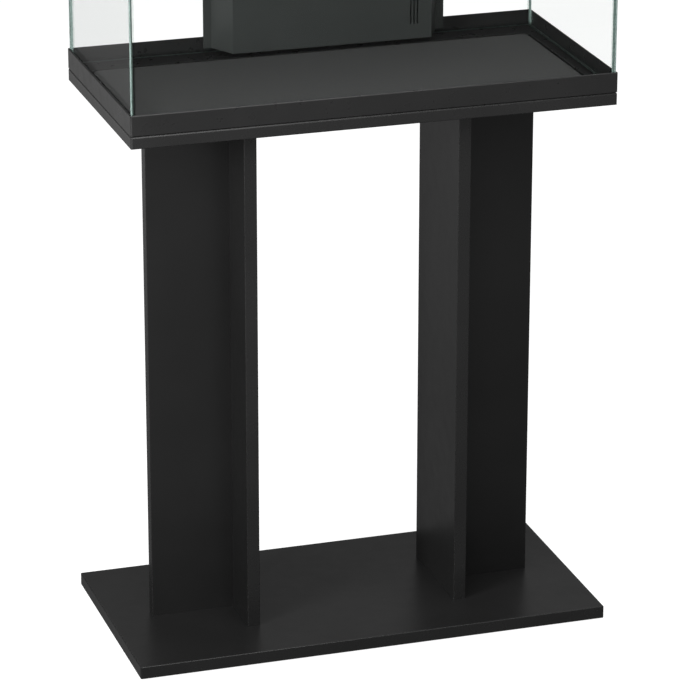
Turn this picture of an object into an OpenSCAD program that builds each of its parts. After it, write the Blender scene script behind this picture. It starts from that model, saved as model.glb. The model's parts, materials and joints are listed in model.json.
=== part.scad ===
// Aquarium on an open stand.
// Frame: X to the right, Y to the back, Z up; the origin is on the floor under the middle of the stand.

/* [Stand] */
// Width of the boards and of the tank
body_w = 610; // [580:1:640]
// Depth of the boards and of the tank
body_d = 305; // [290:1:330]
// Height of the stand's upper face above the floor
stand_h = 700; // [600:5:800]
// Thickness of the boards and of the column panels
board_t = 16; // [15:0.5:19]
// Thickness of the glides under the base
glide_t = 2; // [2:0.5:4]
// Clear width between the two columns
column_gap = 258; // [230:2:280]
// Depth of a column's inner panel
flange_d = 150; // [130:2:180]
// Width of a column's outer panel, at right angles to the inner one
web_w = 106; // [96:1:114]

/* [Tank] */
// Height of the plastic frame around the tank's foot
tray_h = 25; // [22:1:35]
// Thickness of the frame's lip outside the glass
lip_t = 2; // [1.5:0.5:3]
// Thickness of the frame's ledge under the glass
ledge_t = 5; // [4:0.5:8]
// Width of the ledge at the front and the sides
ledge_w = 18; // [15:1:24]
// Width of the ledge at the back
back_ledge_w = 38; // [24:1:42]
// Thickness of the glass panes
glass_t = 4; // [4:0.5:6]
// Height of the side panes
pane_h = 350; // [330:5:400]

/* [Hood] */
// Height of the hood, skirt included
hood_h = 60; // [55:1:80]
// How far the hood's skirt reaches down over the glass
skirt_h = 15; // [10:1:20]
// Width of the fixed bar between the two flaps
bridge_w = 44; // [40:1:60]
// Place of that bar behind the tank's middle
bridge_y = 45; // [35:1:50]

/* [Filter] */
// Width of the filter box's front
filter_w = 260; // [240:2:280]
// Place of the filter box to the right of the tank's middle
filter_x = 25; // [0:1:40]
// Depth of the filter box
filter_d = 37.5; // [36:0.5:40]
// How much wider the box gets towards the back, on each side
filter_flare = 18; // [5:1:24]
// Height of the filter box
filter_h = 322; // [310:1:324]

/* [Hidden] */
$fn = 64;
over = 1;

// Stand levels, edge bands and fixings
base_z = glide_t;
column_z = base_z + board_t;
top_z = stand_h - board_t;
column_h = top_z - column_z;
flange_x = column_gap / 2 + board_t / 2;
web_x = column_gap / 2 + board_t;
base_band_t = 2;
base_corner_r = 2;
base_arris_r = 1;
top_band_t = 4.5;
top_corner_r = 3;
top_arris_r = 4;
top_low_arris_r = 1;
column_band_t = 1;
column_arris_r = 0.8;
glide_r = 14;
glide_inset = 28;
cam_r = 7.5;
cam_h = 12.5;
cam_back = 34;
cap_r = 9;
cap_t = 0.8;
cap_spigot = 0.6;
cross_l = 9;
cross_w = 1.6;
cross_deep = 2;
cam_play = 0.2;
dowel_r = 4;
dowel_in_board = 11;
dowel_in_panel = 19;
bolt_thread = 11;
bolt_r = 3;
bolt_collar_r = 3.7;
bolt_collar_t = 2;
bolt_neck_r = 2.4;
bolt_neck_l = cam_back - 4;
bolt_head_r = 3.4;
bolt_head_l = 3;
bolt_bore_r = 4;
drill_slack = 0.05;
drill_end = 0.5;
web_dowel_in = 22;
web_dowel_out = web_w - 16;
web_cam_x = web_x + 62;
flange_cam_y = 42;
edge_cam_inset = 150;
edge_dowel_inset = 75;

// Tank
tank_z = stand_h;
glass_z = tank_z + ledge_t;
glass_w = body_w - 2 * lip_t;
glass_d = body_d - 2 * lip_t;
glass_top = glass_z + pane_h;
bond_t = 0.5;
fillet = 2;
inner_w = glass_w - 2 * glass_t;
inner_d = glass_d - 2 * glass_t;
opening_w = body_w - 2 * ledge_w;
opening_d = body_d - ledge_w - back_ledge_w;
opening_y = (ledge_w - back_ledge_w) / 2;
opening_r = 12;
mat_gap = 3;
moulding_corner_r = 2.5;
moulding_low_r = 0.3;
moulding_top_r = 1.5;

// Hood
hood_z = glass_top - skirt_h;
hood_top = hood_z + hood_h;
hood_wall = 2.5;
hood_floor = 3;
hood_ledge_w = 6.5;
rib_w = 7;
rib_h = 3;
flap_t = 3;
rib_z = hood_top - flap_t - rib_h;
flap_gap = 0.8;
flap_relief = 3;
barrel_l = body_w - 2 * rib_w - 1;
flap_rib_t = 2;
flap_rib_h = 7;
flap_rib_inset = 16;
rest_gap = 0.3;
knuckle_r = 5;
knuckle_w = 6.5;
lug_w = 6;
knuckle_gap = 0.5;
arm_gap = 1;
hinge_x = 260;
hinge_z = hood_top - knuckle_r;
hinge_off = bridge_w / 2 + knuckle_r + flap_gap;
front_hinge_y = bridge_y - hinge_off;
rear_hinge_y = bridge_y + hinge_off;
pin_r = 2;
pin_slack = 0.06;
pin_l = 2 * knuckle_w + lug_w + 2 * knuckle_gap;
bridge_skirt = 14;
bridge_wall = 2.5;
bridge_foot_gap = 1;
grip_w = 90;
grip_h = 9;
notch_x = -200;
notch_w = 44;
notch_h = 16;

// Light bar
led_l = 540;
led_w = 26;
led_h = 10;
led_wall = 1.5;
led_top = hood_top - bridge_skirt;
led_cap = 4;
led_play = 0.5;
led_end_gap = 2;
board_strip_t = 1.6;
chip = 3.5;
chip_t = 0.9;
chip_count = 36;
chip_pitch = (led_l - 30) / (chip_count - 1);
diffuser_t = 1.5;
led_clip_x = 200;
led_clip_l = 24;

// Filter box, from the back pane forward
bead_t = 1;
filter_wall = 2.5;
back_plate_t = 2;
back_plate_lap = 10;
filter_z = glass_z + glass_t + 3;
filter_top = filter_z + filter_h;
plate_back = inner_d / 2 - bead_t;
plate_front = plate_back - back_plate_t;
filter_front = plate_back - filter_d;
filter_half = filter_w / 2;
filter_half_back = filter_half + filter_flare;
side_wall = filter_wall * sqrt(1 + pow(filter_flare / (plate_front - filter_front), 2));
slot_w = 2;
slot_pitch = 4.4;
slot_inset = 23;
slot_low = 19;
slot_h = 125;
slot_tier_gap = 20;
divider_x = [filter_x - 60, filter_x + 50];
divider_gap = 0.3;
divider_h = filter_h - 60;
underflow_h = 22;
bead_w = 14;
bead_inset = 4;
bead_end = 10;
lid_t = 2;
lid_lift = 0.3;
lid_grip = [60, 6, 8];

// Pump, outlet and heater stand in the filter box
chamber_y = (filter_front + filter_wall + plate_front) / 2;
pump_x = -98;
motor_l = 36;
volute_l = 18;
pump_s = 29;
pump_z = filter_z + filter_wall + 24;
well_r = 9;
well_l = 30;
volute_r = 11;
volute_deep = 13;
rotor_r = 8.4;
rotor_l = 27;
vane_r = 9.6;
vane_l = 9;
shaft_r = 1.5;
shaft_slack = 0.06;
shaft_seat = 3;
hub_r = 4;
vane_t = 1.2;
pump_round = 2;
suction_r = 1.8;
suction_ring_r = 6;
foot_r = 5;
foot_top_r = 3;
foot_inset = 9;
foot_y = 8;
foot_h = pump_z - pump_s / 2 - filter_z - filter_wall;
pipe_x = pump_x + motor_l + volute_l / 2;
pipe_r = 8;
pipe_bore = 6.5;
pipe_low = pump_z + pump_s / 2 - 3;
pipe_top = filter_top - 32;
nozzle_r = 10.5;
nozzle_slack = 0.06;
nozzle_below = 20;
nozzle_above = 10;
nozzle_seat = 6;
nozzle_z = pipe_top + nozzle_seat + 0.5;
spout_r = 7;
spout_bore = 5.5;
spout_l = 50;
spout_lip = 1.5;
spout_lip_l = 10;
window_w = 46;
window_h = 18;

// Sponges and heater
sponge_gap = 1;
sponge_d = 30;
sponge_round = 2;
coarse_z = 28;
coarse_h = 130;
fine_z = coarse_z + coarse_h + 2;
fine_h = 70;
heater_x = filter_x + 92;
heater_r = 10.5;
heater_glass = 1.2;
heater_z = filter_z + 22;
heater_l = 190;
heater_cap_h = 24;
cap_wall = 1.8;
cap_lap = 8;
element_r = 6;
element_gap = 4;
dial_r = 8.5;
dial_h = 12;
dial_stem_r = 3;
dial_play = 0.3;
dial_stem_l = 9.3;
dial_flute_r = 1.1;
pointer_w = 1.2;
pointer_deep = 0.6;
clip_w = 8;
clip_wall = 2;
clip_foot_w = 12;
clip_z = [40, heater_l - 30];

// What is cut away when a square corner is rounded to radius r
module nick(r) {
    difference() {
        translate([-over, -over])
            square(r + over);
        translate([r, r])
            circle(r);
    }
}

// Rectangle centred on X, standing on Y = 0, with rounded lower and upper corners
module soft_rect(w, h, low_r, top_r) {
    difference() {
        translate([-w / 2, 0])
            square([w, h]);
        for (flip = [0, 1])
            mirror([flip, 0]) {
                translate([-w / 2, 0])
                    nick(low_r);
                translate([-w / 2, h])
                    mirror([0, 1])
                        nick(top_r);
            }
    }
}

// Block standing on Z = 0 with rounded upright corners, lower edges and upper edges
module soft_block(w, d, h, plan_r, low_r, top_r) {
    intersection() {
        translate([0, -d / 2, 0])
            linear_extrude(h)
                soft_rect(w, d, plan_r, plan_r);
        translate([0, d / 2, 0])
            rotate([90, 0, 0])
                linear_extrude(d)
                    soft_rect(w, h, low_r, top_r);
        translate([-w / 2, 0, 0])
            rotate([90, 0, 90])
                linear_extrude(w)
                    soft_rect(d, h, low_r, top_r);
    }
}

// Square-edged plate standing on Z = 0
module plate(w, d, h) {
    translate([-w / 2, -d / 2, 0])
        cube([w, d, h]);
}

module rod(r, h) {
    cylinder(r = r, h = h);
}

module tube(r, bore, h) {
    difference() {
        rod(r, h);
        translate([0, 0, -over])
            rod(bore, h + 2 * over);
    }
}

// Each knock-down fixing: the board's face is at Z = 0, the panel above it, its open side at +Y
module at_fixings() {
    for (side = [-1, 1]) {
        for (z = [[column_z, 0], [top_z, 1]])
            translate([0, 0, z[0]])
                mirror([0, 0, z[1]]) {
                    translate([side * web_cam_x, 0, 0])
                        children();
                    translate([side * flange_x, flange_cam_y, 0])
                        rotate(-90 * side)
                            children();
                }
        for (z = [column_z + edge_cam_inset, top_z - edge_cam_inset])
            translate([side * web_x, 0, z])
                rotate([0, 90 * side, 0])
                    children();
    }
}

// Each dowel: the board's face is at Z = 0 and the panel above it
module at_dowels() {
    for (side = [-1, 1]) {
        for (z = [[column_z, 0], [top_z, 1]])
            translate([0, 0, z[0]])
                mirror([0, 0, z[1]]) {
                    for (x = [web_dowel_in, web_dowel_out])
                        translate([side * (web_x + x), 0, 0])
                            children();
                    translate([side * flange_x, -flange_cam_y, 0])
                        children();
                }
        for (z = [column_z + edge_dowel_inset, top_z - edge_dowel_inset])
            translate([side * web_x, 0, z])
                rotate([0, 90 * side, 0])
                    children();
    }
}

module fixing_drilling() {
    translate([0, 0, -bolt_thread - drill_end])
        rod(bolt_r + drill_slack, bolt_thread + drill_end);
    rod(bolt_bore_r, cam_back);
    translate([0, board_t / 2 - cam_h - drill_end, cam_back])
        rotate([-90, 0, 0])
            rod(cam_r + drill_slack, cam_h + drill_end + over);
}

module dowel_drilling() {
    translate([0, 0, -dowel_in_board - drill_end])
        rod(dowel_r + drill_slack, dowel_in_board + dowel_in_panel + 2 * drill_end);
}

module drillings() {
    at_fixings()
        fixing_drilling();
    at_dowels()
        dowel_drilling();
}

module base_board() {
    color("#1f1f20")
        difference() {
            translate([0, 0, base_z])
                plate(body_w - 2 * base_band_t, body_d - 2 * base_band_t, board_t);
            drillings();
        }
}

module base_edge_band() {
    color("#262627")
        translate([0, 0, base_z])
            difference() {
                soft_block(body_w, body_d, board_t, base_corner_r, base_arris_r, base_arris_r);
                translate([0, 0, -over])
                    plate(body_w - 2 * base_band_t, body_d - 2 * base_band_t, board_t + 2 * over);
            }
}

module top_board() {
    color("#1f1f20")
        difference() {
            translate([0, 0, top_z])
                plate(body_w - 2 * top_band_t, body_d - 2 * top_band_t, board_t);
            drillings();
        }
}

module top_edge_band() {
    color("#2c2c2d")
        translate([0, 0, top_z])
            difference() {
                soft_block(body_w, body_d, board_t, top_corner_r, top_low_arris_r, top_arris_r);
                translate([0, 0, -over])
                    plate(body_w - 2 * top_band_t, body_d - 2 * top_band_t, board_t + 2 * over);
            }
}

module flange(side) {
    difference() {
        translate([side * flange_x, 0, column_z])
            plate(board_t, flange_d - 2 * column_band_t, column_h);
        drillings();
    }
}

module left_flange() {
    color("#1b1b1c")
        flange(-1);
}

module right_flange() {
    color("#1b1b1c")
        flange(1);
}

module web(side) {
    difference() {
        translate([side * (web_x + (web_w - column_band_t) / 2), 0, column_z])
            plate(web_w - column_band_t, board_t, column_h);
        drillings();
    }
}

module left_web() {
    color("#1b1b1c")
        web(-1);
}

module right_web() {
    color("#1b1b1c")
        web(1);
}

// Edge strip with rounded outer corners, its glued face on Y = 0 and facing +Y outwards
module edge_strip() {
    linear_extrude(column_h)
        difference() {
            translate([-board_t / 2, 0])
                square([board_t, column_band_t]);
            for (flip = [0, 1])
                mirror([flip, 0])
                    translate([-board_t / 2, column_band_t])
                        mirror([0, 1])
                            nick(column_arris_r);
        }
}

module column_edge_bands() {
    color("#2a2a2b")
        for (side = [-1, 1]) {
            for (turn = [0, 180])
                translate([side * flange_x, 0, column_z])
                    rotate(turn)
                        translate([0, flange_d / 2 - column_band_t, 0])
                            edge_strip();
            translate([side * (web_x + web_w - column_band_t), 0, column_z])
                rotate(-90 * side)
                    edge_strip();
        }
}

module cam_locks() {
    color("silver")
        at_fixings()
            translate([0, board_t / 2 - cam_h - drill_end + cam_play, cam_back])
                rotate([-90, 0, 0])
                    difference() {
                        rod(cam_r, cam_h - 2 * cam_play);
                        // mouth for the bolt's head, and the screwdriver cross
                        translate([0, 0, cam_h + drill_end - cam_play - board_t / 2])
                            rotate([-90, 0, 0])
                                rod(bolt_bore_r, cam_r + over);
                        for (turn = [0, 90])
                            rotate(turn)
                                translate([0, 0, cam_h - 2 * cam_play - cross_deep])
                                    plate(cross_l, cross_w, cross_deep + over);
                    }
}

module cam_bolts() {
    color("gainsboro")
        at_fixings() {
            translate([0, 0, -bolt_thread])
                rod(bolt_r, bolt_thread);
            rod(bolt_collar_r, bolt_collar_t);
            rod(bolt_neck_r, bolt_neck_l);
            translate([0, 0, bolt_neck_l])
                rod(bolt_head_r, bolt_head_l);
        }
}

module cam_caps() {
    color("#202021")
        at_fixings()
            translate([0, board_t / 2, cam_back])
                rotate([-90, 0, 0]) {
                    rod(cap_r, cap_t);
                    translate([0, 0, -cap_spigot])
                        rod(cam_r - 2 * cam_play, cap_spigot);
                }
}

module dowels() {
    color("burlywood")
        at_dowels()
            translate([0, 0, -dowel_in_board])
                rod(dowel_r, dowel_in_board + dowel_in_panel);
}

module glides() {
    color("#3a3a3a")
        for (x = [-1, 0, 1])
            for (y = [-1, 1])
                translate([x * (body_w / 2 - glide_inset), y * (body_d / 2 - glide_inset), 0])
                    rod(glide_r, glide_t);
}

// Plan of the opening in the tray's ledge, drawn smaller all round by gap
module ledge_opening(gap, h) {
    translate([0, opening_y - opening_d / 2 + gap, 0])
        linear_extrude(h)
            soft_rect(opening_w - 2 * gap, opening_d - 2 * gap, opening_r, opening_r);
}

module base_mat() {
    color("#3e3e40")
        translate([0, 0, tank_z])
            ledge_opening(mat_gap, ledge_t);
}

module tray_frame() {
    color("#333334")
        difference() {
            translate([0, 0, tank_z])
                soft_block(body_w, body_d, tray_h, moulding_corner_r, moulding_low_r, moulding_top_r);
            translate([0, 0, glass_z])
                plate(glass_w, glass_d, tray_h);
            translate([0, 0, tank_z - over])
                ledge_opening(0, ledge_t + 2 * over);
        }
}

module bottom_pane() {
    color("#9fc4b8", 0.35)
        translate([0, 0, glass_z])
            plate(inner_w - 2 * bond_t, inner_d - 2 * bond_t, glass_t);
}

// Pane across the whole width, at the front (-1) or at the back (1)
module long_pane(side) {
    translate([0, side * (glass_d - glass_t) / 2, glass_z])
        plate(glass_w, glass_t, pane_h);
}

// Pane between the two long ones, at the left (-1) or at the right (1)
module short_pane(side) {
    translate([side * (glass_w - glass_t) / 2, 0, glass_z])
        plate(glass_t, inner_d - 2 * bond_t, pane_h);
}

module front_pane() {
    color("#b8d8cc", 0.3)
        long_pane(-1);
}

module back_pane() {
    color("#b8d8cc", 0.3)
        long_pane(1);
}

module left_pane() {
    color("#b8d8cc", 0.3)
        short_pane(-1);
}

module right_pane() {
    color("#b8d8cc", 0.3)
        short_pane(1);
}

// Silicone in each upright joint, with a small fillet on the inside
module corner_seals() {
    color("#c9d2cf", 0.6)
        for (x = [0, 1])
            for (y = [0, 1])
                mirror([x, 0, 0])
                    mirror([0, y, 0])
                        translate([-inner_w / 2, -inner_d / 2, glass_z + glass_t])
                            linear_extrude(pane_h - glass_t) {
                                translate([-glass_t, 0])
                                    square([glass_t, bond_t]);
                                polygon([[0, 0], [fillet, 0], [0, fillet]]);
                            }
}

// Silicone around the bottom pane, with a fillet above it
module floor_seals() {
    color("#c9d2cf", 0.6) {
        translate([0, 0, glass_z])
            difference() {
                plate(inner_w, inner_d, glass_t);
                translate([0, 0, -over])
                    plate(inner_w - 2 * bond_t, inner_d - 2 * bond_t, glass_t + 2 * over);
            }
        for (y = [0, 1])
            mirror([0, y, 0])
                translate([-inner_w / 2 + fillet, -inner_d / 2, glass_z + glass_t])
                    rotate([90, 0, 90])
                        linear_extrude(inner_w - 2 * fillet)
                            polygon([[0, 0], [fillet, 0], [0, fillet]]);
        for (x = [0, 1])
            mirror([x, 0, 0])
                translate([-inner_w / 2, inner_d / 2 - fillet, glass_z + glass_t])
                    rotate([90, 0, 0])
                        linear_extrude(inner_d - 2 * fillet)
                            polygon([[0, 0], [fillet, 0], [0, fillet]]);
    }
}

// Plan of the filter box, wider at the back; inset 0 is the outside and 1 the inside of its walls
module filter_plan(inset) {
    front = filter_front + inset * filter_wall;
    flare = filter_flare / (plate_front - filter_front);
    half_front = filter_half + inset * (filter_wall * flare - side_wall);
    half_back = filter_half_back - inset * side_wall;
    translate([filter_x, 0])
        polygon([
            [-half_front, front], [half_front, front],
            [half_back, plate_front], [-half_back, plate_front]
        ]);
}

module filter_box() {
    color("#333634")
        difference() {
            union() {
                translate([0, 0, filter_z])
                    linear_extrude(filter_h)
                        filter_plan(0);
                translate([filter_x, plate_front + back_plate_t / 2, filter_z])
                    plate(2 * (filter_half_back + back_plate_lap), back_plate_t, filter_h);
            }
            translate([0, 0, filter_z + filter_wall])
                linear_extrude(filter_h)
                    filter_plan(1);
            // intake slots in the front, in two tiers
            for (tier = [0, 1])
                for (i = [-1, 0, 1])
                    translate([
                        filter_x + filter_half - slot_inset + i * slot_pitch,
                        filter_front + filter_wall / 2,
                        filter_z + slot_low + tier * (slot_h + slot_tier_gap)
                    ])
                        plate(slot_w, filter_wall + 2 * over, slot_h);
            // window that the nozzle reaches through
            translate([pipe_x, filter_front + filter_wall / 2, nozzle_z - window_h / 2])
                plate(window_w, filter_wall + 2 * over, window_h);
        }
}

// Two partitions; water passes under the left one and over the right one
module filter_dividers() {
    color("#2b2d2c")
        for (i = [0, 1])
            translate([divider_x[i], chamber_y, filter_z + filter_wall + (1 - i) * underflow_h])
                plate(filter_wall, plate_front - filter_front - filter_wall - 2 * divider_gap, divider_h);
}

module filter_beads() {
    color("#1a1a1a")
        for (side = [-1, 1])
            translate([
                filter_x + side * (filter_half_back - bead_inset),
                plate_back + bead_t / 2,
                filter_z + bead_end
            ])
                plate(bead_w, bead_t, filter_h - 2 * bead_end);
}

module filter_lid() {
    color("#2b2d2c")
        translate([0, 0, filter_top + lid_lift]) {
            linear_extrude(lid_t)
                filter_plan(0);
            // finger bar
            translate([filter_x, chamber_y, lid_t])
                soft_block(lid_grip[0], lid_grip[1], lid_grip[2], 2, 0.5, 2);
        }
}

module pump_body() {
    color("#1c1c1d")
        difference() {
            translate([pump_x + motor_l / 2, chamber_y, pump_z - pump_s / 2])
                soft_block(motor_l, pump_s, pump_s, pump_round, pump_round, pump_round);
            translate([pump_x + motor_l - well_l, chamber_y, pump_z])
                rotate([0, 90, 0])
                    rod(well_r, well_l + over);
            translate([pump_x + shaft_seat, chamber_y, pump_z])
                rotate([0, 90, 0])
                    rod(shaft_r, motor_l);
        }
}

module pump_cover() {
    color("#262829")
        difference() {
            translate([pump_x + motor_l + volute_l / 2, chamber_y, pump_z - pump_s / 2])
                soft_block(volute_l, pump_s, pump_s, pump_round, pump_round, pump_round);
            translate([pump_x + motor_l - over, chamber_y, pump_z])
                rotate([0, 90, 0]) {
                    rod(volute_r, volute_deep + over);
                    rod(shaft_r, volute_deep + shaft_seat + over);
                }
            // suction holes around the shaft's end
            for (turn = [0:60:300])
                translate([pump_x + motor_l, chamber_y, pump_z])
                    rotate([turn, 0, 0])
                        translate([0, 0, suction_ring_r])
                            rotate([0, 90, 0])
                                rod(suction_r, volute_l + over);
            translate([pipe_x, chamber_y, pump_z])
                rod(pipe_bore - 1, pump_s);
            translate([pipe_x, chamber_y, pipe_low])
                rod(pipe_r, pump_s);
        }
}

module pump_feet() {
    color("#111111")
        for (x = [pump_x + foot_inset, pump_x + motor_l + volute_l - foot_inset])
            for (y = [-foot_y, foot_y])
                translate([x, chamber_y + y, filter_z + filter_wall])
                    cylinder(r1 = foot_r, r2 = foot_top_r, h = foot_h);
}

module impeller() {
    color("#d8d8d4")
        translate([pump_x + motor_l, chamber_y, pump_z])
            rotate([0, 90, 0])
                difference() {
                    union() {
                        translate([0, 0, -rotor_l - 0.5])
                            rod(rotor_r, rotor_l);
                        translate([0, 0, -0.5])
                            rod(hub_r, vane_l + 2);
                        for (turn = [0:60:300])
                            rotate(turn)
                                translate([vane_r / 2, 0, 1])
                                    plate(vane_r, vane_t, vane_l);
                    }
                    translate([0, 0, -rotor_l - over])
                        rod(shaft_r + shaft_slack, rotor_l + vane_l + 3 * over);
                }
}

module impeller_shaft() {
    color("white")
        translate([pump_x + shaft_seat, chamber_y, pump_z])
            rotate([0, 90, 0])
                rod(shaft_r, motor_l + volute_deep);
}

module outlet_pipe() {
    color("#202223")
        translate([pipe_x, chamber_y, pipe_low])
            tube(pipe_r, pipe_bore, pipe_top - pipe_low);
}

module nozzle() {
    color("#202223")
        translate([pipe_x, chamber_y, nozzle_z])
            difference() {
                union() {
                    translate([0, 0, -nozzle_below])
                        rod(nozzle_r, nozzle_below + nozzle_above);
                    rotate([90, 0, 0]) {
                        rod(spout_r, spout_l);
                        translate([0, 0, spout_l - spout_lip_l])
                            cylinder(r1 = spout_r, r2 = spout_r + spout_lip, h = spout_lip_l);
                    }
                }
                // sleeve that turns on the pipe, and the chamber above the pipe's end
                translate([0, 0, -nozzle_below - over])
                    rod(pipe_r + nozzle_slack, nozzle_below - nozzle_seat + over);
                translate([0, 0, -nozzle_seat - over])
                    rod(pipe_bore, 2 * nozzle_seat + over);
                rotate([90, 0, 0])
                    rod(spout_bore, spout_l + over);
            }
}

// Block of foam that fills the middle chamber's width
module sponge(z, h) {
    translate([(divider_x[0] + divider_x[1]) / 2, chamber_y, z])
        soft_block(
            divider_x[1] - divider_x[0] - filter_wall - 2 * sponge_gap,
            sponge_d, h, sponge_round, sponge_round, sponge_round
        );
}

module coarse_sponge() {
    color("#2a4f8c")
        sponge(filter_z + coarse_z, coarse_h);
}

module fine_sponge() {
    color("#e6e6e0")
        sponge(filter_z + fine_z, fine_h);
}

module heater_tube() {
    color("#d5e0e2", 0.4)
        translate([heater_x, chamber_y, heater_z])
            difference() {
                union() {
                    translate([0, 0, heater_r])
                        rod(heater_r, heater_l - heater_r);
                    translate([0, 0, heater_r])
                        sphere(heater_r);
                }
                translate([0, 0, heater_r])
                    rod(heater_r - heater_glass, heater_l);
                translate([0, 0, heater_r])
                    sphere(heater_r - heater_glass);
            }
}

module heater_element() {
    color("#c8b48c")
        translate([heater_x, chamber_y, heater_z + heater_r + element_gap])
            rod(element_r, heater_l - heater_r - element_gap);
}

module heater_cap() {
    color("#191919")
        translate([heater_x, chamber_y, heater_z + heater_l])
            difference() {
                union() {
                    translate([0, 0, -cap_lap])
                        tube(heater_r + cap_wall, heater_r, cap_lap);
                    rod(heater_r + cap_wall, heater_cap_h);
                }
                translate([0, 0, heater_cap_h - dial_stem_l - dial_play])
                    rod(dial_stem_r + drill_slack, dial_stem_l + dial_play + over);
            }
}

module heater_dial() {
    color("#b03028")
        translate([heater_x, chamber_y, heater_z + heater_l + heater_cap_h + dial_play]) {
            difference() {
                rod(dial_r, dial_h);
                for (turn = [0:30:330])
                    rotate(turn)
                        translate([dial_r + dial_flute_r / 3, 0, -over])
                            rod(dial_flute_r, dial_h + 2 * over);
                // pointer groove
                translate([0, dial_r / 2, dial_h - pointer_deep])
                    plate(pointer_w, dial_r - 2, pointer_deep + over);
            }
            translate([0, 0, -dial_stem_l])
                rod(dial_stem_r, dial_stem_l);
        }
}

// Two rings that hold the heater, each on a foot against the back plate
module heater_clips() {
    color("#141414")
        for (z = clip_z)
            translate([heater_x, chamber_y, heater_z + z]) {
                tube(heater_r + clip_wall, heater_r, clip_w);
                translate([0, (heater_r + clip_wall / 2 + plate_front - chamber_y) / 2, 0])
                    plate(clip_foot_w, plate_front - chamber_y - heater_r - clip_wall / 2, clip_w);
            }
}

module hood_frame() {
    color("#2e2e2f")
        difference() {
            translate([0, 0, hood_z])
                soft_block(body_w, body_d, hood_h, moulding_corner_r, moulding_low_r, moulding_top_r);
            // room for the glass
            translate([0, 0, hood_z - over])
                plate(glass_w, glass_d, skirt_h + over);
            // opening in the ledge that sits on the glass
            translate([0, 0, hood_z])
                plate(glass_w - 2 * hood_ledge_w, glass_d - 2 * hood_ledge_w, hood_h);
            // space between the ledge and the rib that the flaps rest on
            translate([0, 0, glass_top + hood_floor])
                plate(body_w - 2 * hood_wall, body_d - 2 * hood_wall, rib_z - glass_top - hood_floor);
            translate([0, 0, glass_top + hood_floor])
                plate(body_w - 2 * rib_w, body_d - 2 * rib_w, hood_h);
            // recess for the flaps
            translate([0, 0, hood_top - flap_t - rest_gap])
                plate(body_w - 2 * hood_wall, body_d - 2 * hood_wall, hood_h);
            // finger notch at the front
            translate([0, -body_d / 2, hood_top - grip_h])
                plate(grip_w, 4 * rib_w, hood_h);
            // notch for cables at the back
            translate([notch_x, body_d / 2, glass_top + hood_floor])
                plate(notch_w, 4 * hood_wall, notch_h);
        }
}

// Bore and round end of a hinge part, its axis along X
module eye(w, bore) {
    rotate([0, 90, 0])
        translate([0, 0, -w / 2])
            tube(knuckle_r, bore, w);
}

module hood_bridge() {
    channel_l = body_w - 2 * rib_w - 2 * rest_gap;
    color("#2e2e2f")
        translate([0, bridge_y, 0]) {
            difference() {
                union() {
                    translate([0, 0, hood_top - flap_t - rest_gap])
                        plate(body_w - 2 * hood_wall - 2 * rest_gap, bridge_w, flap_t + rest_gap);
                    translate([0, 0, led_top])
                        plate(channel_l, bridge_w, bridge_skirt - bridge_foot_gap);
                }
                translate([0, 0, led_top - over])
                    plate(
                        channel_l - 2 * bridge_wall,
                        bridge_w - 2 * bridge_wall,
                        bridge_skirt - flap_t - rest_gap + over
                    );
            }
            for (side = [-1, 1])
                for (end = [-1, 1])
                    translate([side * hinge_x, end * hinge_off, hinge_z]) {
                        eye(lug_w, pin_r);
                        // arm from the eye to the bar
                        translate([0, -end * (pin_r + knuckle_r / 2 + arm_gap), -knuckle_r])
                            plate(lug_w, knuckle_r, 2 * knuckle_r - 1);
                    }
        }
}

// Flap drawn with its hinge axis on X and its plate reaching towards -Y
module flap(reach) {
    half = body_w / 2 - hood_wall - flap_gap;
    difference() {
        union() {
            translate([0, -(reach + flap_relief) / 2, knuckle_r - flap_t])
                plate(2 * half, reach - flap_relief, flap_t);
            // narrower beside the hinge, so that it clears the hood's ribs as it turns
            translate([0, -flap_relief / 2, knuckle_r - flap_t])
                plate(barrel_l, flap_relief, flap_t);
            // hinge barrel that fills the gap to the bar at every angle
            translate([-barrel_l / 2, 0, 0])
                rotate([0, 90, 0])
                    rod(knuckle_r, barrel_l);
            // stiffening ribs under the plate
            for (y = [-flap_rib_inset, -reach + flap_rib_inset])
                translate([0, y, knuckle_r - flap_t - flap_rib_h])
                    plate(body_w - 4 * rib_w, flap_rib_t, flap_rib_h + over);
        }
        for (side = [-1, 1])
            translate([side * hinge_x, 0, -knuckle_r])
                plate(lug_w + 2 * knuckle_gap, 2 * knuckle_r + 2, 3 * knuckle_r);
        translate([-barrel_l / 2 - over, 0, 0])
            rotate([0, 90, 0])
                rod(pin_r + pin_slack, barrel_l + 2 * over);
    }
}

module front_flap() {
    reach = front_hinge_y + body_d / 2 - hood_wall - flap_gap;
    color("#262627")
        translate([0, front_hinge_y, hinge_z]) {
            flap(reach);
            // grip that fills the top of the finger notch
            translate([0, -reach - (hood_wall + flap_gap) / 2, knuckle_r - flap_t])
                plate(grip_w - 2, hood_wall + flap_gap, flap_t);
        }
}

module rear_flap() {
    color("#262627")
        translate([0, rear_hinge_y, hinge_z])
            mirror([0, 1, 0])
                flap(body_d / 2 - hood_wall - flap_gap - rear_hinge_y);
}

module hinge_pins() {
    color("silver")
        for (side = [-1, 1])
            for (y = [front_hinge_y, rear_hinge_y])
                translate([side * hinge_x - pin_l / 2, y, hinge_z])
                    rotate([0, 90, 0])
                        rod(pin_r, pin_l);
}

module led_housing() {
    color("#b9bbbd")
        translate([0, bridge_y, led_top - led_h])
            difference() {
                soft_block(led_l, led_w, led_h, 0.5, 0.5, 1.5);
                translate([0, 0, -over])
                    plate(led_l + 2 * over, led_w - 2 * led_wall, led_h - led_wall + over);
            }
}

module led_strip() {
    color("#f2f2ee")
        translate([0, bridge_y, led_top - led_wall - board_strip_t])
            plate(led_l - 2 * led_end_gap, led_w - 2 * led_wall - 2 * led_play, board_strip_t);
}

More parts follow.
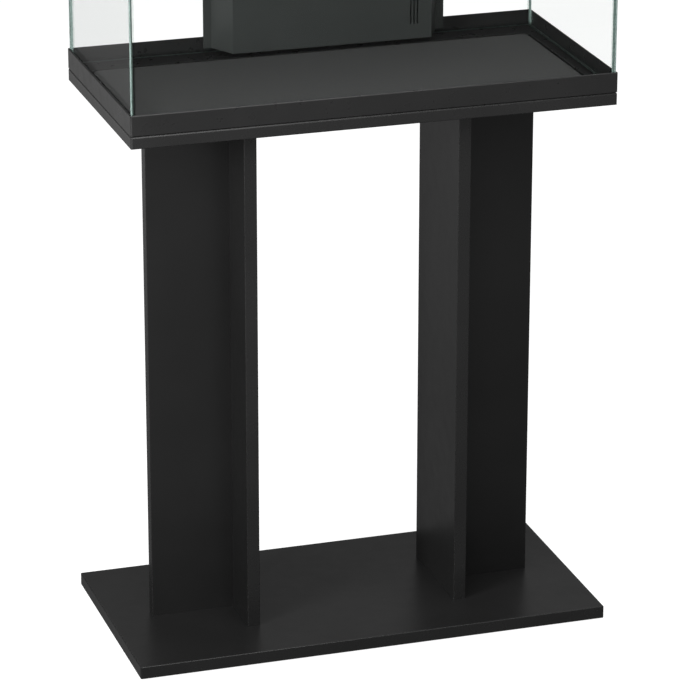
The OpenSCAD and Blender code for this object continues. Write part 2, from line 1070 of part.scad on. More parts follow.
module led_chips() {
    color("#f5e27a")
        for (i = [0:chip_count - 1])
            translate([
                (i - (chip_count - 1) / 2) * chip_pitch,
                bridge_y,
                led_top - led_wall - board_strip_t - chip_t
            ])
                plate(chip, chip, chip_t);
}

module led_diffuser() {
    color("#f4f6f5", 0.7)
        translate([0, bridge_y, led_top - led_h + led_play])
            plate(led_l - 2 * led_play, led_w - 2 * led_wall - led_play / 2, diffuser_t);
}

module led_end_caps() {
    color("#1a1a1b")
        for (side = [-1, 1])
            translate([side * (led_l + led_cap) / 2, bridge_y, led_top - led_h])
                soft_block(led_cap, led_w, led_h, 0.8, 0.8, 1.5);
}

module led_clips() {
    color("#1a1a1b")
        for (side = [-1, 1])
            translate([side * led_clip_x, bridge_y, led_top])
                plate(led_clip_l, led_w, bridge_skirt - flap_t - rest_gap);
}

base_board();
base_edge_band();
top_board();
top_edge_band();
left_flange();
right_flange();
left_web();
right_web();
column_edge_bands();
cam_locks();
cam_bolts();
cam_caps();
dowels();
glides();
base_mat();
tray_frame();
bottom_pane();
front_pane();
back_pane();
left_pane();
right_pane();
corner_seals();
floor_seals();
filter_box();
filter_dividers();
filter_beads();
filter_lid();
pump_body();
pump_cover();
pump_feet();
impeller();
impeller_shaft();
outlet_pipe();
nozzle();
coarse_sponge();
fine_sponge();
heater_tube();
heater_element();
heater_cap();
heater_dial();
heater_clips();
hood_frame();
hood_bridge();
front_flap();
rear_flap();
hinge_pins();
led_housing();
led_strip();
led_chips();
led_diffuser();
led_end_caps();
led_clips();
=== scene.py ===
"""Aquarium on an open stand: looks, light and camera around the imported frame. Metres; X right, Y back, Z up."""

import json
import math
import bmesh
import bpy
from mathutils import Matrix, Vector, noise


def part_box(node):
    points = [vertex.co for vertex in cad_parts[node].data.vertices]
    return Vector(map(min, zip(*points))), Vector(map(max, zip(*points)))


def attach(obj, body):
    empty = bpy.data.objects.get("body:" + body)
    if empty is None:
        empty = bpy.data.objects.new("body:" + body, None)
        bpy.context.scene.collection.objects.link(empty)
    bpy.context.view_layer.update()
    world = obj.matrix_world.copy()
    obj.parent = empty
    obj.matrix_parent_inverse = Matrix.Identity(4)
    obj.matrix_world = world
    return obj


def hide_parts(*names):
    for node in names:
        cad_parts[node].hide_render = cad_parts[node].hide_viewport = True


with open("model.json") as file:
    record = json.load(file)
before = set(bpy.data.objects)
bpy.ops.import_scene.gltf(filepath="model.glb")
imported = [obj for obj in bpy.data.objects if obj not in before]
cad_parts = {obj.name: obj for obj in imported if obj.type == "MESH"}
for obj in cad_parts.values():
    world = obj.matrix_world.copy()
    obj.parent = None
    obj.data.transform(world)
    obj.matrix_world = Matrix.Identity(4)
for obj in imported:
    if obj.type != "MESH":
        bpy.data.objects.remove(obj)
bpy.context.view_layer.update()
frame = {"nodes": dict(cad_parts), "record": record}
nodes = frame["nodes"]

# Camera: place, heading to the right of +Y, tilt below the horizon and roll, all in radians
CAMERA_PLACE = Vector((-1.3774, -4.3327, 2.0366))
CAMERA_HEADING = 0.3106
CAMERA_TILT = 0.3559
CAMERA_ROLL = 0.0016
LENS = 198.4
SENSOR = 36.0
CLIP_END = 100


def make_camera():
    """Long-lens camera from the front left and above, at the photograph's viewing angle."""
    data = bpy.data.cameras.new("camera")
    data.lens = LENS
    data.sensor_width = SENSOR
    data.clip_end = CLIP_END
    camera = bpy.data.objects.new("camera", data)
    turn = Matrix.Rotation(-CAMERA_HEADING, 3, "Z")
    tilt = Matrix.Rotation(math.pi / 2 - CAMERA_TILT, 3, "X")
    roll = Matrix.Rotation(CAMERA_ROLL, 3, "Z")
    camera.matrix_world = Matrix.Translation(CAMERA_PLACE) @ (turn @ tilt @ roll).to_4x4()
    bpy.context.scene.collection.objects.link(camera)
    bpy.context.scene.camera = camera


make_camera()


# ---------------------------------------------------------------- material building blocks

class Tree:
    """A material's node tree with short calls to add and join nodes."""

    def __init__(self, name):
        self.material = bpy.data.materials.new(name)
        self.material.use_nodes = True
        self.tree = self.material.node_tree
        self.tree.nodes.clear()
        self.output = self.add("ShaderNodeOutputMaterial")
        self.place = self.add("ShaderNodeTexCoord").outputs["Object"]

    def add(self, kind, **settings):
        made = self.tree.nodes.new(kind)
        for key, value in settings.items():
            setattr(made, key, value)
        return made

    def link(self, source, target):
        self.tree.links.new(source, target)

    def put(self, target, value):
        """Sets a socket to a plain value, or joins it to another node's socket."""
        if isinstance(value, bpy.types.NodeSocket):
            self.link(value, target)
        else:
            target.default_value = value

    def stretched(self, scale):
        made = self.add("ShaderNodeMapping")
        self.link(self.place, made.inputs["Vector"])
        made.inputs["Scale"].default_value = scale
        return made.outputs["Vector"]

    def noise(self, scale, detail=2.0, rough=0.5, vector=None):
        made = self.add("ShaderNodeTexNoise")
        self.link(vector or self.place, made.inputs["Vector"])
        made.inputs["Scale"].default_value = scale
        made.inputs["Detail"].default_value = detail
        made.inputs["Roughness"].default_value = rough
        return made.outputs["Fac"]

    def cells(self, scale, feature="F1", vector=None):
        made = self.add("ShaderNodeTexVoronoi", feature=feature)
        self.link(vector or self.place, made.inputs["Vector"])
        made.inputs["Scale"].default_value = scale
        return made.outputs["Distance"]

    def math(self, operation, a, b=0.5):
        made = self.add("ShaderNodeMath", operation=operation)
        self.put(made.inputs[0], a)
        self.put(made.inputs[1], b)
        return made.outputs[0]

    def spread(self, factor, low, high):
        """factor, read around its middle, as a value from low to high."""
        made = self.add("ShaderNodeMapRange")
        self.link(factor, made.inputs["Value"])
        made.inputs["From Min"].default_value = 0.3
        made.inputs["From Max"].default_value = 0.7
        made.inputs["To Min"].default_value = low
        made.inputs["To Max"].default_value = high
        return made.outputs["Result"]

    def ramp(self, factor, *stops):
        made = self.add("ShaderNodeValToRGB")
        self.link(factor, made.inputs["Fac"])
        elements = made.color_ramp.elements
        while len(elements) < len(stops):
            elements.new(0.5)
        for element, (at, colour) in zip(elements, stops):
            element.position = at
            element.color = (*colour, 1)
        return made.outputs["Color"]

    def bump(self, height, distance, strength=1.0, normal=None):
        made = self.add("ShaderNodeBump")
        self.link(height, made.inputs["Height"])
        made.inputs["Distance"].default_value = distance
        made.inputs["Strength"].default_value = strength
        if normal:
            self.link(normal, made.inputs["Normal"])
        return made.outputs["Normal"]

    def principled(self, **values):
        made = self.add("ShaderNodeBsdfPrincipled")
        for key, value in values.items():
            self.put(made.inputs[key.replace("_", " ")], value)
        return made

    def finish(self, shader):
        self.link(shader.outputs[0], self.output.inputs["Surface"])
        return self.material


def grey(level, tint=(1, 1, 1)):
    return tuple(level * t for t in tint)


# ---------------------------------------------------------------- materials

def moulded(name, dark, light, rough, grain, depth, specular=0.5):
    """Plastic or laminate: slightly uneven colour and gloss over a fine pressed grain."""
    t = Tree(name)
    cloud = t.noise(9, 3)
    fine = t.noise(grain, 3, 0.6)
    return t.finish(t.principled(
        Base_Color=t.ramp(cloud, (0.35, dark), (0.65, light)),
        Roughness=t.spread(t.noise(60, 4), rough[0], rough[1]),
        Specular_IOR_Level=specular,
        Normal=t.bump(fine, depth),
    ))


def laminate():
    """Black melamine: a satin sheet with a fine pearl grain and a faint long waviness."""
    t = Tree("black_melamine")
    pearl = t.cells(900)
    waves = t.noise(14, 2)
    normal = t.bump(pearl, 0.00003, 1.0, t.bump(waves, 0.0004))
    return t.finish(t.principled(
        Base_Color=t.ramp(t.noise(6, 3), (0.35, grey(0.0095)), (0.65, grey(0.0125))),
        Roughness=t.spread(t.noise(45, 4), 0.29, 0.35),
        Specular_IOR_Level=0.36,
        Normal=normal,
    ))


def metal(name, colour, rough, streaks):
    t = Tree(name)
    lines = t.noise(90, 3, 0.6, t.stretched(streaks))
    return t.finish(t.principled(
        Base_Color=t.ramp(t.noise(50, 3), (0.3, grey(0.85, colour)), (0.7, colour)),
        Metallic=1.0,
        Roughness=t.spread(lines, rough[0], rough[1]),
        Normal=t.bump(lines, 0.00002),
    ))


def rubber(name, dark, light, grain=1500, depth=0.00005):
    t = Tree(name)
    return t.finish(t.principled(
        Base_Color=t.ramp(t.noise(40, 4), (0.3, dark), (0.7, light)),
        Roughness=t.spread(t.noise(200, 3), 0.62, 0.8),
        Specular_IOR_Level=0.3,
        Normal=t.bump(t.noise(grain, 3, 0.7), depth),
    ))


def wood():
    t = Tree("beech")
    rays = t.noise(260, 4, 0.6, t.stretched((1, 1, 0.06)))
    return t.finish(t.principled(
        Base_Color=t.ramp(rays, (0.3, (0.42, 0.25, 0.12)), (0.7, (0.66, 0.45, 0.26))),
        Roughness=t.spread(rays, 0.45, 0.65),
        Normal=t.bump(rays, 0.0001),
    ))


def foam(name, low, high, scale, depth):
    """Open-cell or closed-cell foam: each pore is a small pit, coloured darker towards its middle as painted
    shade.
    """
    t = Tree(name)
    pore_pits_and_shade = t.cells(scale)
    return t.finish(t.principled(
        # The pore's middle takes the first, darker colour: painted shade in the pit.
        Base_Color=t.ramp(pore_pits_and_shade, (0.1, low), (0.55, high)),
        Roughness=t.spread(t.noise(300, 2), 0.75, 0.92),
        Specular_IOR_Level=0.2,
        Normal=t.bump(pore_pits_and_shade, depth),
    ))


def edge_on(t, straight, grazing):
    """How much a pane mirrors, from a straight look to a grazing one, the same on its front and back faces."""
    facing = t.add("ShaderNodeLayerWeight").outputs["Facing"]
    return t.math("ADD", t.math("MULTIPLY", t.math("POWER", facing, 5.0), grazing), straight)


def pane_glass(name, passed, smear, mirrors):
    """Clear pane that shows what is behind it unbent, and mirrors by its (straight, grazing) shares."""
    t = Tree(name)
    clear = t.add("ShaderNodeBsdfTransparent")
    t.link(t.ramp(t.noise(3, 2), (0.4, passed), (0.6, grey(0.996, passed))), clear.inputs["Color"])
    mirror = t.add("ShaderNodeBsdfGlossy")
    t.put(mirror.inputs["Roughness"], t.spread(t.noise(25, 4), 0.01, smear))
    mix = t.add("ShaderNodeMixShader")
    t.link(edge_on(t, *mirrors), mix.inputs[0])
    t.link(clear.outputs[0], mix.inputs[1])
    t.link(mirror.outputs[0], mix.inputs[2])
    return t.finish(mix)


def glass_edge():
    """Ground edge of a float-glass pane: green, a little frosted."""
    t = Tree("glass_ground_edge")
    grind = t.noise(400, 3, 0.6)
    return t.finish(t.principled(
        Base_Color=t.ramp(grind, (0.3, (0.15, 0.205, 0.19)), (0.7, (0.20, 0.27, 0.25))),
        Roughness=t.spread(grind, 0.2, 0.38),
        Normal=t.bump(grind, 0.00005),
    ))


def silicone_clear():
    t = Tree("clear_silicone")
    ripple = t.noise(120, 3)
    clear = t.add("ShaderNodeBsdfTransparent")
    t.link(t.ramp(ripple, (0.3, (0.93, 0.95, 0.94)), (0.7, (0.97, 0.98, 0.975))), clear.inputs["Color"])
    body = t.principled(
        Base_Color=t.ramp(ripple, (0.3, (0.06, 0.066, 0.063)), (0.7, (0.10, 0.108, 0.104))),
        Roughness=t.spread(ripple, 0.18, 0.3),
        Normal=t.bump(ripple, 0.0003),
    )
    mix = t.add("ShaderNodeMixShader")
    mix.inputs[0].default_value = 0.06
    t.link(clear.outputs[0], mix.inputs[1])
    t.link(body.outputs[0], mix.inputs[2])
    return t.finish(mix)


def frosted(name, colour):
    t = Tree(name)
    grain = t.noise(700, 3)
    return t.finish(t.principled(
        Base_Color=t.ramp(t.noise(30, 3), (0.3, grey(0.93, colour)), (0.7, colour)),
        Roughness=t.spread(grain, 0.35, 0.5),
        Subsurface_Weight=0.4,
        Subsurface_Scale=0.002,
        Normal=t.bump(grain, 0.00002),
    ))


FILTER_TINT = (0.93, 1.03, 0.99)

# Name, darkest and lightest colour, roughness range, grain per metre, its depth, specular level
PLASTIC_BLACK = moulded("satin_black_plastic", grey(0.0115), grey(0.0145), (0.26, 0.34), 900, 0.000008, 0.4)
EDGE_BLACK = moulded("black_edge_band", grey(0.0115), grey(0.014), (0.24, 0.30), 900, 0.000008, 0.45)
FILTER_PLASTIC = moulded("filter_box_plastic", grey(0.027, FILTER_TINT), grey(0.030, FILTER_TINT), (0.3, 0.38),
                         800, 0.000006, 0.42)
PUMP_PLASTIC = moulded("gloss_black_plastic", grey(0.012), grey(0.017), (0.14, 0.24), 1500, 0.00002, 0.5)
CAP_PLASTIC = moulded("cap_plastic", grey(0.012), grey(0.016), (0.35, 0.45), 1500, 0.00003, 0.4)
IVORY = moulded("ivory_plastic", (0.62, 0.61, 0.55), (0.70, 0.69, 0.63), (0.25, 0.35), 1100, 0.00003)
CERAMIC = moulded("white_ceramic", (0.80, 0.80, 0.77), (0.88, 0.88, 0.85), (0.12, 0.2), 900, 0.00001)
DIAL_RED = moulded("red_dial_plastic", (0.38, 0.025, 0.018), (0.48, 0.035, 0.022), (0.22, 0.32), 1200, 0.00003)
SOLDER_MASK = moulded("white_solder_mask", (0.76, 0.76, 0.73), (0.84, 0.84, 0.81), (0.25, 0.4), 800, 0.00003)
PHOSPHOR = moulded("phosphor", (0.80, 0.66, 0.20), (0.92, 0.78, 0.28), (0.3, 0.4), 1500, 0.00002)
ELEMENT = moulded("mica_former", (0.45, 0.38, 0.26), (0.60, 0.52, 0.38), (0.45, 0.6), 500, 0.00005)
BLACK_SEAL = rubber("black_silicone", grey(0.012), grey(0.018), 300, 0.0001)
LAMINATE = laminate()
# Name, light passed, smear of the mirror image, mirrored share (straight, grazing)
GLASS = pane_glass("float_glass", (0.995, 0.999, 0.997), 0.03, (0.006, 0.32))
# The left pane passes greyer light than the other panes: painted shade, a tint that darkens what is seen through
# it.
LEFT_PANE_SHADE_GLASS = pane_glass("left_pane_shaded_glass", (0.962, 0.967, 0.965), 0.03, (0.008, 0.36))
FLOOR_GLASS = pane_glass("floor_pane_glass", (0.995, 0.999, 0.997), 0.3, (0.002, 0.02))
TUBE_GLASS = pane_glass("heater_glass", (0.97, 0.98, 0.985), 0.04, (0.04, 0.9))
GLASS_EDGE = glass_edge()

finishes = {
    "board": LAMINATE,
    "edge_band": EDGE_BLACK,
    "zinc": metal("zinc_casting", (0.62, 0.62, 0.60), (0.35, 0.5), (1, 1, 1)),
    "steel": metal("plated_steel", (0.66, 0.66, 0.65), (0.2, 0.32), (1, 1, 8)),
    "cap": CAP_PLASTIC,
    "beech": wood(),
    "glide": rubber("glide_rubber", grey(0.028), grey(0.045)),
    "foam": foam("floor_mat_foam", grey(0.045), grey(0.052), 2500, 0.00001),
    "frame_plastic": PLASTIC_BLACK,
    "glass": GLASS,
    "silicone": silicone_clear(),
    "black_silicone": BLACK_SEAL,
    "filter_plastic": FILTER_PLASTIC,
    "pump_plastic": PUMP_PLASTIC,
    "foot_rubber": rubber("foot_rubber", grey(0.010), grey(0.018)),
    "rotor": IVORY,
    "ceramic": CERAMIC,
    "blue_sponge": foam("blue_open_foam", (0.006, 0.03, 0.12), (0.035, 0.13, 0.38), 620, 0.0008),
    "white_sponge": foam("white_fleece", (0.50, 0.50, 0.46), (0.80, 0.80, 0.76), 900, 0.0004),
    "heater_glass": TUBE_GLASS,
    "element": ELEMENT,
    "dial": DIAL_RED,
    "aluminium": metal("anodised_aluminium", (0.70, 0.71, 0.72), (0.3, 0.42), (0.05, 6, 6)),
    "circuit": SOLDER_MASK,
    "phosphor": PHOSPHOR,
    "diffuser": frosted("frosted_diffuser", (0.86, 0.88, 0.87)),
}


def dress_nodes():
    """Each CAD node gets its slot's material."""
    for part in frame["record"]["subparts"]:
        mesh = nodes[part["node"]].data
        mesh.materials.clear()
        mesh.materials.append(finishes[part["material_slot"]])


dress_nodes()

# ---------------------------------------------------------------- arrises on the hard plastic and metal parts

# Part and the width of its broken edges
ARRISES = {
    "hood_frame": 0.0008, "hood_bridge": 0.0006, "front_flap": 0.0008, "rear_flap": 0.0008,
    "filter_lid": 0.0006, "pump_body": 0.0006, "pump_cover": 0.0005,
    "led_housing": 0.0003, "led_end_caps": 0.0004, "led_clips": 0.0004, "heater_cap": 0.0004,
    "heater_clips": 0.0004, "column_edge_bands": 0.0008, "cam_caps": 0.0003, "filter_dividers": 0.0003,
}
ARRIS_ANGLE = math.radians(50)
ARRIS_STEPS = 2
WELD_REACH = 0.00001


def break_edges():
    """Small bevels, with shading that keeps the flats flat."""
    for name, width in ARRISES.items():
        node = nodes[name]
        weld = node.modifiers.new("weld", "WELD")
        weld.merge_threshold = WELD_REACH
        arris = node.modifiers.new("arris", "BEVEL")
        arris.width = width
        arris.segments = ARRIS_STEPS
        arris.limit_method = "ANGLE"
        arris.angle_limit = ARRIS_ANGLE
        arris.use_clamp_overlap = True
        shade = node.modifiers.new("shade", "WEIGHTED_NORMAL")
        shade.keep_sharp = True


break_edges()

# ---------------------------------------------------------------- pieces made here


def piece_of(name, data, materials, stands_for=(), body="body"):
    """Puts a mesh or curve in the scene as a piece that rides on a body and stands for CAD nodes."""
    for material in materials:
        data.materials.append(material)
    piece = bpy.data.objects.new(name, data)
    bpy.context.scene.collection.objects.link(piece)
    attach(piece, body)
    if stands_for:
        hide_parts(*stands_for)
    return piece


def mesh_from(name, bm, smooth=False):
    mesh = bpy.data.meshes.new(name)
    bmesh.ops.recalc_face_normals(bm, faces=bm.faces[:])
    for face in bm.faces:
        face.smooth = smooth
    bm.to_mesh(mesh)
    bm.free()
    return mesh


PANE_ARRIS = 0.0005
# A pane stays this far off the faces that it touches, so that light and sight pass between them
PANE_SKIN = 0.0002
FLAT = 0.99


def make_pane(node, across, face_glass, edge_glass):
    """A pane with clear faces, across its thin axis, and edges of their own glass with broken arrises."""
    low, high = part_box(node)
    bm = bmesh.new()
    bmesh.ops.create_cube(bm, size=1)
    for vert in bm.verts:
        vert.co = [high[i] - PANE_SKIN if vert.co[i] > 0 else low[i] + PANE_SKIN for i in range(3)]
    bmesh.ops.bevel(bm, geom=bm.edges[:], offset=PANE_ARRIS, segments=1, profile=0.5, affect="EDGES")
    bm.normal_update()
    for face in bm.faces:
        face.material_index = 0 if abs(face.normal[across]) > FLAT else 1
    piece_of(node + "_glass", mesh_from(node, bm), (face_glass, edge_glass), (node,))


X_AXIS, Y_AXIS, Z_AXIS = range(3)
make_pane("front_pane", Y_AXIS, GLASS, GLASS_EDGE)
make_pane("back_pane", Y_AXIS, GLASS, GLASS_EDGE)
# The left pane gets the glass with painted shade in its tint.
make_pane("left_pane", X_AXIS, LEFT_PANE_SHADE_GLASS, GLASS_EDGE)
make_pane("right_pane", X_AXIS, GLASS, GLASS_EDGE)
make_pane("bottom_pane", Z_AXIS, FLOOR_GLASS, FLOOR_GLASS)


# Where a soft edge's middle line lies, as a share of the edge radius
SOFT_STEP = 0.35


def soft_box(name, low, high, radius, cell, sink, grain):
    """A foam block in small cells, round at its edges, with a surface that sinks unevenly by up to sink."""
    lines = []
    for i in range(3):
        inner = high[i] - low[i] - 2 * radius
        count = max(1, round(inner / cell))
        lines.append([low[i], low[i] + SOFT_STEP * radius]
                     + [low[i] + radius + inner * k / count for k in range(count + 1)]
                     + [high[i] - SOFT_STEP * radius, high[i]])
    bm = bmesh.new()
    made = {}

    def vert(key):
        if key not in made:
            at = Vector(lines[i][key[i]] for i in range(3))
            core = Vector(min(max(at[i], low[i] + radius), high[i] - radius) for i in range(3))
            out = (at - core).normalized()
            dip = sink * (0.5 + 0.5 * noise.noise(at * grain))
            made[key] = bm.verts.new(core + out * (radius - dip))
        return made[key]

    for axis in range(3):
        u, v = [i for i in range(3) if i != axis]
        for end in (0, len(lines[axis]) - 1):
            for a in range(len(lines[u]) - 1):
                for b in range(len(lines[v]) - 1):
                    ring = []
                    for du, dv in ((0, 0), (1, 0), (1, 1), (0, 1)):
                        key = [0, 0, 0]
                        key[axis], key[u], key[v] = end, a + du, b + dv
                        ring.append(vert(tuple(key)))
                    bm.faces.new(ring)
    return mesh_from(name, bm, smooth=True)


# Foam piece, CAD node, slot, edge radius, cell, unevenness, its pitch per metre, how full it is
FOAMS = (
    ("coarse_sponge_block", "coarse_sponge", "blue_sponge", 0.0035, 0.0026, 0.0011, 330, 0.9),
    ("fine_sponge_block", "fine_sponge", "white_sponge", 0.0040, 0.0030, 0.0008, 240, 0.8),
)


def make_foams():
    for name, node, slot, radius, cell, sink, grain, fill in FOAMS:
        low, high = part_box(node)
        block = piece_of(name, soft_box(name, low, high, radius, cell, sink, grain),
                         (finishes[slot],), (node,))


make_foams()

MAT_CORNER_R = 0.009
MAT_EDGE = 0.0015
MAT_STEPS = 8
# The soft edge's middle line, as a share of the edge's width
MAT_ROUND = 0.3


def make_mat():
    """The floor mat: a foam sheet with rounded corners and a soft upper edge."""
    low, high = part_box("base_mat")

    def outline(inset):
        radius = MAT_CORNER_R - inset
        points = []
        for corner, (sx, sy) in enumerate(((1, 1), (-1, 1), (-1, -1), (1, -1))):
            cx = (high.x if sx > 0 else low.x) - sx * MAT_CORNER_R
            cy = (high.y if sy > 0 else low.y) - sy * MAT_CORNER_R
            for k in range(MAT_STEPS + 1):
                angle = math.pi / 2 * (corner + k / MAT_STEPS)
                points.append((cx + radius * math.cos(angle), cy + radius * math.sin(angle)))
        return points

    bm = bmesh.new()
    rings = []
    for inset, z in ((0.0, low.z), (0.0, high.z - MAT_EDGE), (MAT_ROUND * MAT_EDGE, high.z - MAT_ROUND * MAT_EDGE),
                     (MAT_EDGE, high.z)):
        rings.append([bm.verts.new((x, y, z)) for x, y in outline(inset)])
    for lower, upper in zip(rings, rings[1:]):
        for k in range(len(lower)):
            n = (k + 1) % len(lower)
            bm.faces.new((lower[k], lower[n], upper[n], upper[k]))
    bm.faces.new(rings[0])
    bm.faces.new(rings[-1])
    mat = piece_of("floor_mat", mesh_from("floor_mat", bm), (finishes["foam"],), ("base_mat",))


make_mat()

# Heater's inside: a grooved ceramic former, the resistance wire wound on it, and two leads up into the cap
WIRE_R = 0.00035
WIRE_PITCH = 0.0024
WINDING = (0.012, 0.132)
TURN_STEPS = 14
LEAD_R = 0.0005
LEAD_OUT = 0.0030
RIM = 0.0016
FORMER_SIDES = 28


def lathe(profile, sides, centre):
    """Closed solid of revolution from (radius, height) pairs, round an upright axis through centre."""
    bm = bmesh.new()
    rings = []
    for radius, height in profile:
        rings.append([bm.verts.new((centre.x + radius * math.cos(math.tau * k / sides),
                                    centre.y + radius * math.sin(math.tau * k / sides), height))
                      for k in range(sides)])
    for lower, upper in zip(rings, rings[1:]):
        for k in range(sides):
            n = (k + 1) % sides
            bm.faces.new((lower[k], lower[n], upper[n], upper[k]))
    bm.faces.new(rings[0])
    bm.faces.new(rings[-1])
    return bm


def make_heater_inside():
    """The wound former stands for the CAD's element; the wire is a piece of its own."""
    low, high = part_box("heater_element")
    centre = (low + high) / 2
    reach = (high.x - low.x) / 2
    wound_r = reach - WIRE_R
    groove_r = wound_r - 1.5 * WIRE_R
    start, end = low.z + WINDING[0], low.z + WINDING[1]
    turns = int((end - start) / WIRE_PITCH)
    profile = [(reach - RIM, low.z), (reach, low.z + RIM), (reach, start - RIM), (groove_r, start - RIM / 2)]
    for k in range(turns):
        z = start + k * WIRE_PITCH
        profile += [(groove_r, z), (groove_r + WIRE_R, z + WIRE_PITCH / 2)]
    profile += [(groove_r, end), (reach, end + RIM), (reach, end + 3 * RIM), (reach / 2, end + 4 * RIM),
                (reach / 2, high.z)]
    former = mesh_from("heater_former", lathe(profile, FORMER_SIDES, centre), smooth=True)
    piece_of("heater_former", former, (CERAMIC,), ("heater_element",))

    wire = bpy.data.curves.new("heater_wire", "CURVE")
    wire.dimensions = "3D"
    wire.bevel_depth = WIRE_R
    wire.bevel_resolution = 2
    wire.use_fill_caps = True
    coil = []
    for k in range(turns * TURN_STEPS + 1):
        angle = math.tau * k / TURN_STEPS
        coil.append((centre.x + wound_r * math.cos(angle), centre.y + wound_r * math.sin(angle),
                     start + WIRE_PITCH * k / TURN_STEPS))
    lead = coil[-1]
    far = (centre.x - LEAD_OUT, centre.y, end + 4 * RIM)
    lines = [
        coil + [(lead[0], lead[1], end + 2 * RIM), (centre.x + LEAD_OUT + LEAD_R, centre.y, end + 5 * RIM),
                (centre.x + LEAD_OUT + LEAD_R, centre.y, high.z)],
        [far, (far[0] - LEAD_R, far[1], far[2] + 2 * RIM), (far[0] - LEAD_R, far[1], high.z)],
    ]
    for points in lines:
        spline = wire.splines.new("POLY")
        spline.points.add(len(points) - 1)
        for point, co in zip(spline.points, points):
            point.co = (*co, 1)
    piece_of("heater_wire", wire, (finishes["steel"],))


make_heater_inside()

# ---------------------------------------------------------------- floor, room and light

FLOOR_HALF = 30.0
WHITE = (1, 1, 1, 1)
# Floor as the camera sees it: its own colour and the light added to it; and the white backdrop
FLOOR_PALE = 0.3
FLOOR_LIFT = 0.94
BACKDROP = 1.03

# What the object sees around it, as light levels: the room by direction, and the floor in front, behind and to
# the left. The turns are where the floor goes from one level to the next, in metres along Y and along X.
ROOM = {"left": 0.05, "right": 0.5, "front": 0.05, "back": 0.13, "above": 0.25}
FLOOR_FRONT = 0.33
FLOOR_BACK = 0.14
FLOOR_TURNS = (0.3, -1.8)
FLOOR_LEFT = 0.33
LEFT_TURNS = (-0.4, -1.4)
# Area light, place, target, size in metres, watts
LIGHTS = (
    ("key_light", (-1.45, -0.86, 0.98), (0.0, 0.0, 0.55), (0.5, 0.5), 33),
    ("top_light", (0.0, -0.5, 3.0), (0.0, 0.0, 0.4), (2.0, 1.6), 34),
    ("tank_light", (0.0, -0.03, 1.06), (0.0, -0.03, 0.0), (0.5, 0.18), 0.35),
    ("front_softbox", (-0.6, -2.6, 2.7), (0.0, -0.15, 0.7), (3.0, 2.0), 72),
)


def make_floor():
    """Pale floor for the camera; for the object, a floor that glows to the front and left and less behind."""
    mesh = bpy.data.meshes.new("floor")
    h = FLOOR_HALF
    mesh.from_pydata([(-h, -h, 0), (h, -h, 0), (h, h, 0), (-h, h, 0)], [], [(0, 1, 2, 3)])
    floor = bpy.data.objects.new("floor", mesh)
    bpy.context.scene.collection.objects.link(floor)
    t = Tree("pale_floor")
    seen = t.add("ShaderNodeLightPath").outputs["Is Camera Ray"]
    pale = t.add("ShaderNodeBsdfDiffuse")
    pale.inputs["Color"].default_value = (*grey(FLOOR_PALE), 1)
    lift = t.add("ShaderNodeEmission")
    lift.inputs["Color"].default_value = WHITE
    lift.inputs["Strength"].default_value = FLOOR_LIFT
    both = t.add("ShaderNodeAddShader")
    t.link(pale.outputs[0], both.inputs[0])
    t.link(lift.outputs[0], both.inputs[1])
    split = t.add("ShaderNodeSeparateXYZ")
    t.link(t.place, split.inputs[0])
    levels = []
    sweeps = (("Y", FLOOR_TURNS, FLOOR_BACK, FLOOR_FRONT), ("X", LEFT_TURNS, 0.0, FLOOR_LEFT))
    for axis, turns, near, far in sweeps:
        level = t.add("ShaderNodeMapRange", interpolation_type="SMOOTHSTEP")
        t.link(split.outputs[axis], level.inputs["Value"])
        level.inputs["From Min"].default_value = turns[1]
        level.inputs["From Max"].default_value = turns[0]
        level.inputs["To Min"].default_value = far
        level.inputs["To Max"].default_value = near
        levels.append(level.outputs["Result"])
    glow = t.add("ShaderNodeEmission")
    glow.inputs["Color"].default_value = WHITE
    t.link(t.math("ADD", *levels), glow.inputs["Strength"])
    mix = t.add("ShaderNodeMixShader")
    t.link(seen, mix.inputs[0])
    t.link(glow.outputs[0], mix.inputs[1])
    t.link(both.outputs[0], mix.inputs[2])
    mesh.materials.append(t.finish(mix))


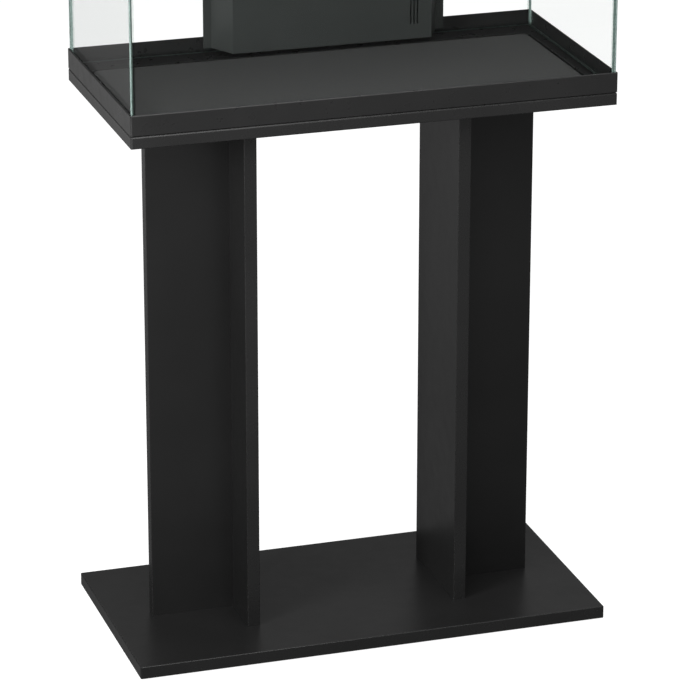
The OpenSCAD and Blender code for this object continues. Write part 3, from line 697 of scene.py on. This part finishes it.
def make_world():
    """White for the camera; for the object, a room whose sides and ceiling each have their own glow."""
    world = bpy.data.worlds.new("studio")
    bpy.context.scene.world = world
    world.use_nodes = True
    tree = world.node_tree
    tree.nodes.clear()
    place = tree.nodes.new("ShaderNodeTexCoord")
    split = tree.nodes.new("ShaderNodeSeparateXYZ")
    tree.links.new(place.outputs["Generated"], split.inputs[0])

    def step(operation, a, b):
        made = tree.nodes.new("ShaderNodeMath")
        made.operation = operation
        for socket, value in zip(made.inputs, (a, b)):
            if isinstance(value, bpy.types.NodeSocket):
                tree.links.new(value, socket)
            else:
                socket.default_value = value
        return made.outputs[0]

    # Wall or ceiling, the axis and sign that point at it, and how closely its glow gathers there
    sides = (("left", "X", -1, 1), ("right", "X", 1, 1), ("front", "Y", -1, 1), ("back", "Y", 1, 1),
             ("above", "Z", 1, 3))
    total = 0.0
    for name, axis, sign, gather in sides:
        towards = step("MAXIMUM", step("MULTIPLY", split.outputs[axis], float(sign)), 0.0)
        lobe = step("POWER", towards, float(gather))
        total = step("ADD", step("MULTIPLY", lobe, ROOM[name]), total)
    room = tree.nodes.new("ShaderNodeBackground")
    tree.links.new(total, room.inputs["Strength"])
    white = tree.nodes.new("ShaderNodeBackground")
    white.inputs["Color"].default_value = WHITE
    white.inputs["Strength"].default_value = BACKDROP
    seen = tree.nodes.new("ShaderNodeLightPath").outputs["Is Camera Ray"]
    mix = tree.nodes.new("ShaderNodeMixShader")
    tree.links.new(seen, mix.inputs[0])
    tree.links.new(room.outputs[0], mix.inputs[1])
    tree.links.new(white.outputs[0], mix.inputs[2])
    out = tree.nodes.new("ShaderNodeOutputWorld")
    tree.links.new(mix.outputs[0], out.inputs["Surface"])


def area_light(name, place, target, size, power):
    data = bpy.data.lights.new(name, "AREA")
    data.shape = "RECTANGLE"
    data.size, data.size_y = size
    data.energy = power
    light = bpy.data.objects.new(name, data)
    light.location = place
    light.rotation_euler = (Vector(target) - Vector(place)).to_track_quat("-Z", "Y").to_euler()
    light.visible_camera = False
    bpy.context.scene.collection.objects.link(light)


make_floor()
make_world()
for light in LIGHTS:
    area_light(*light)
bpy.context.scene.view_settings.view_transform = "Standard"
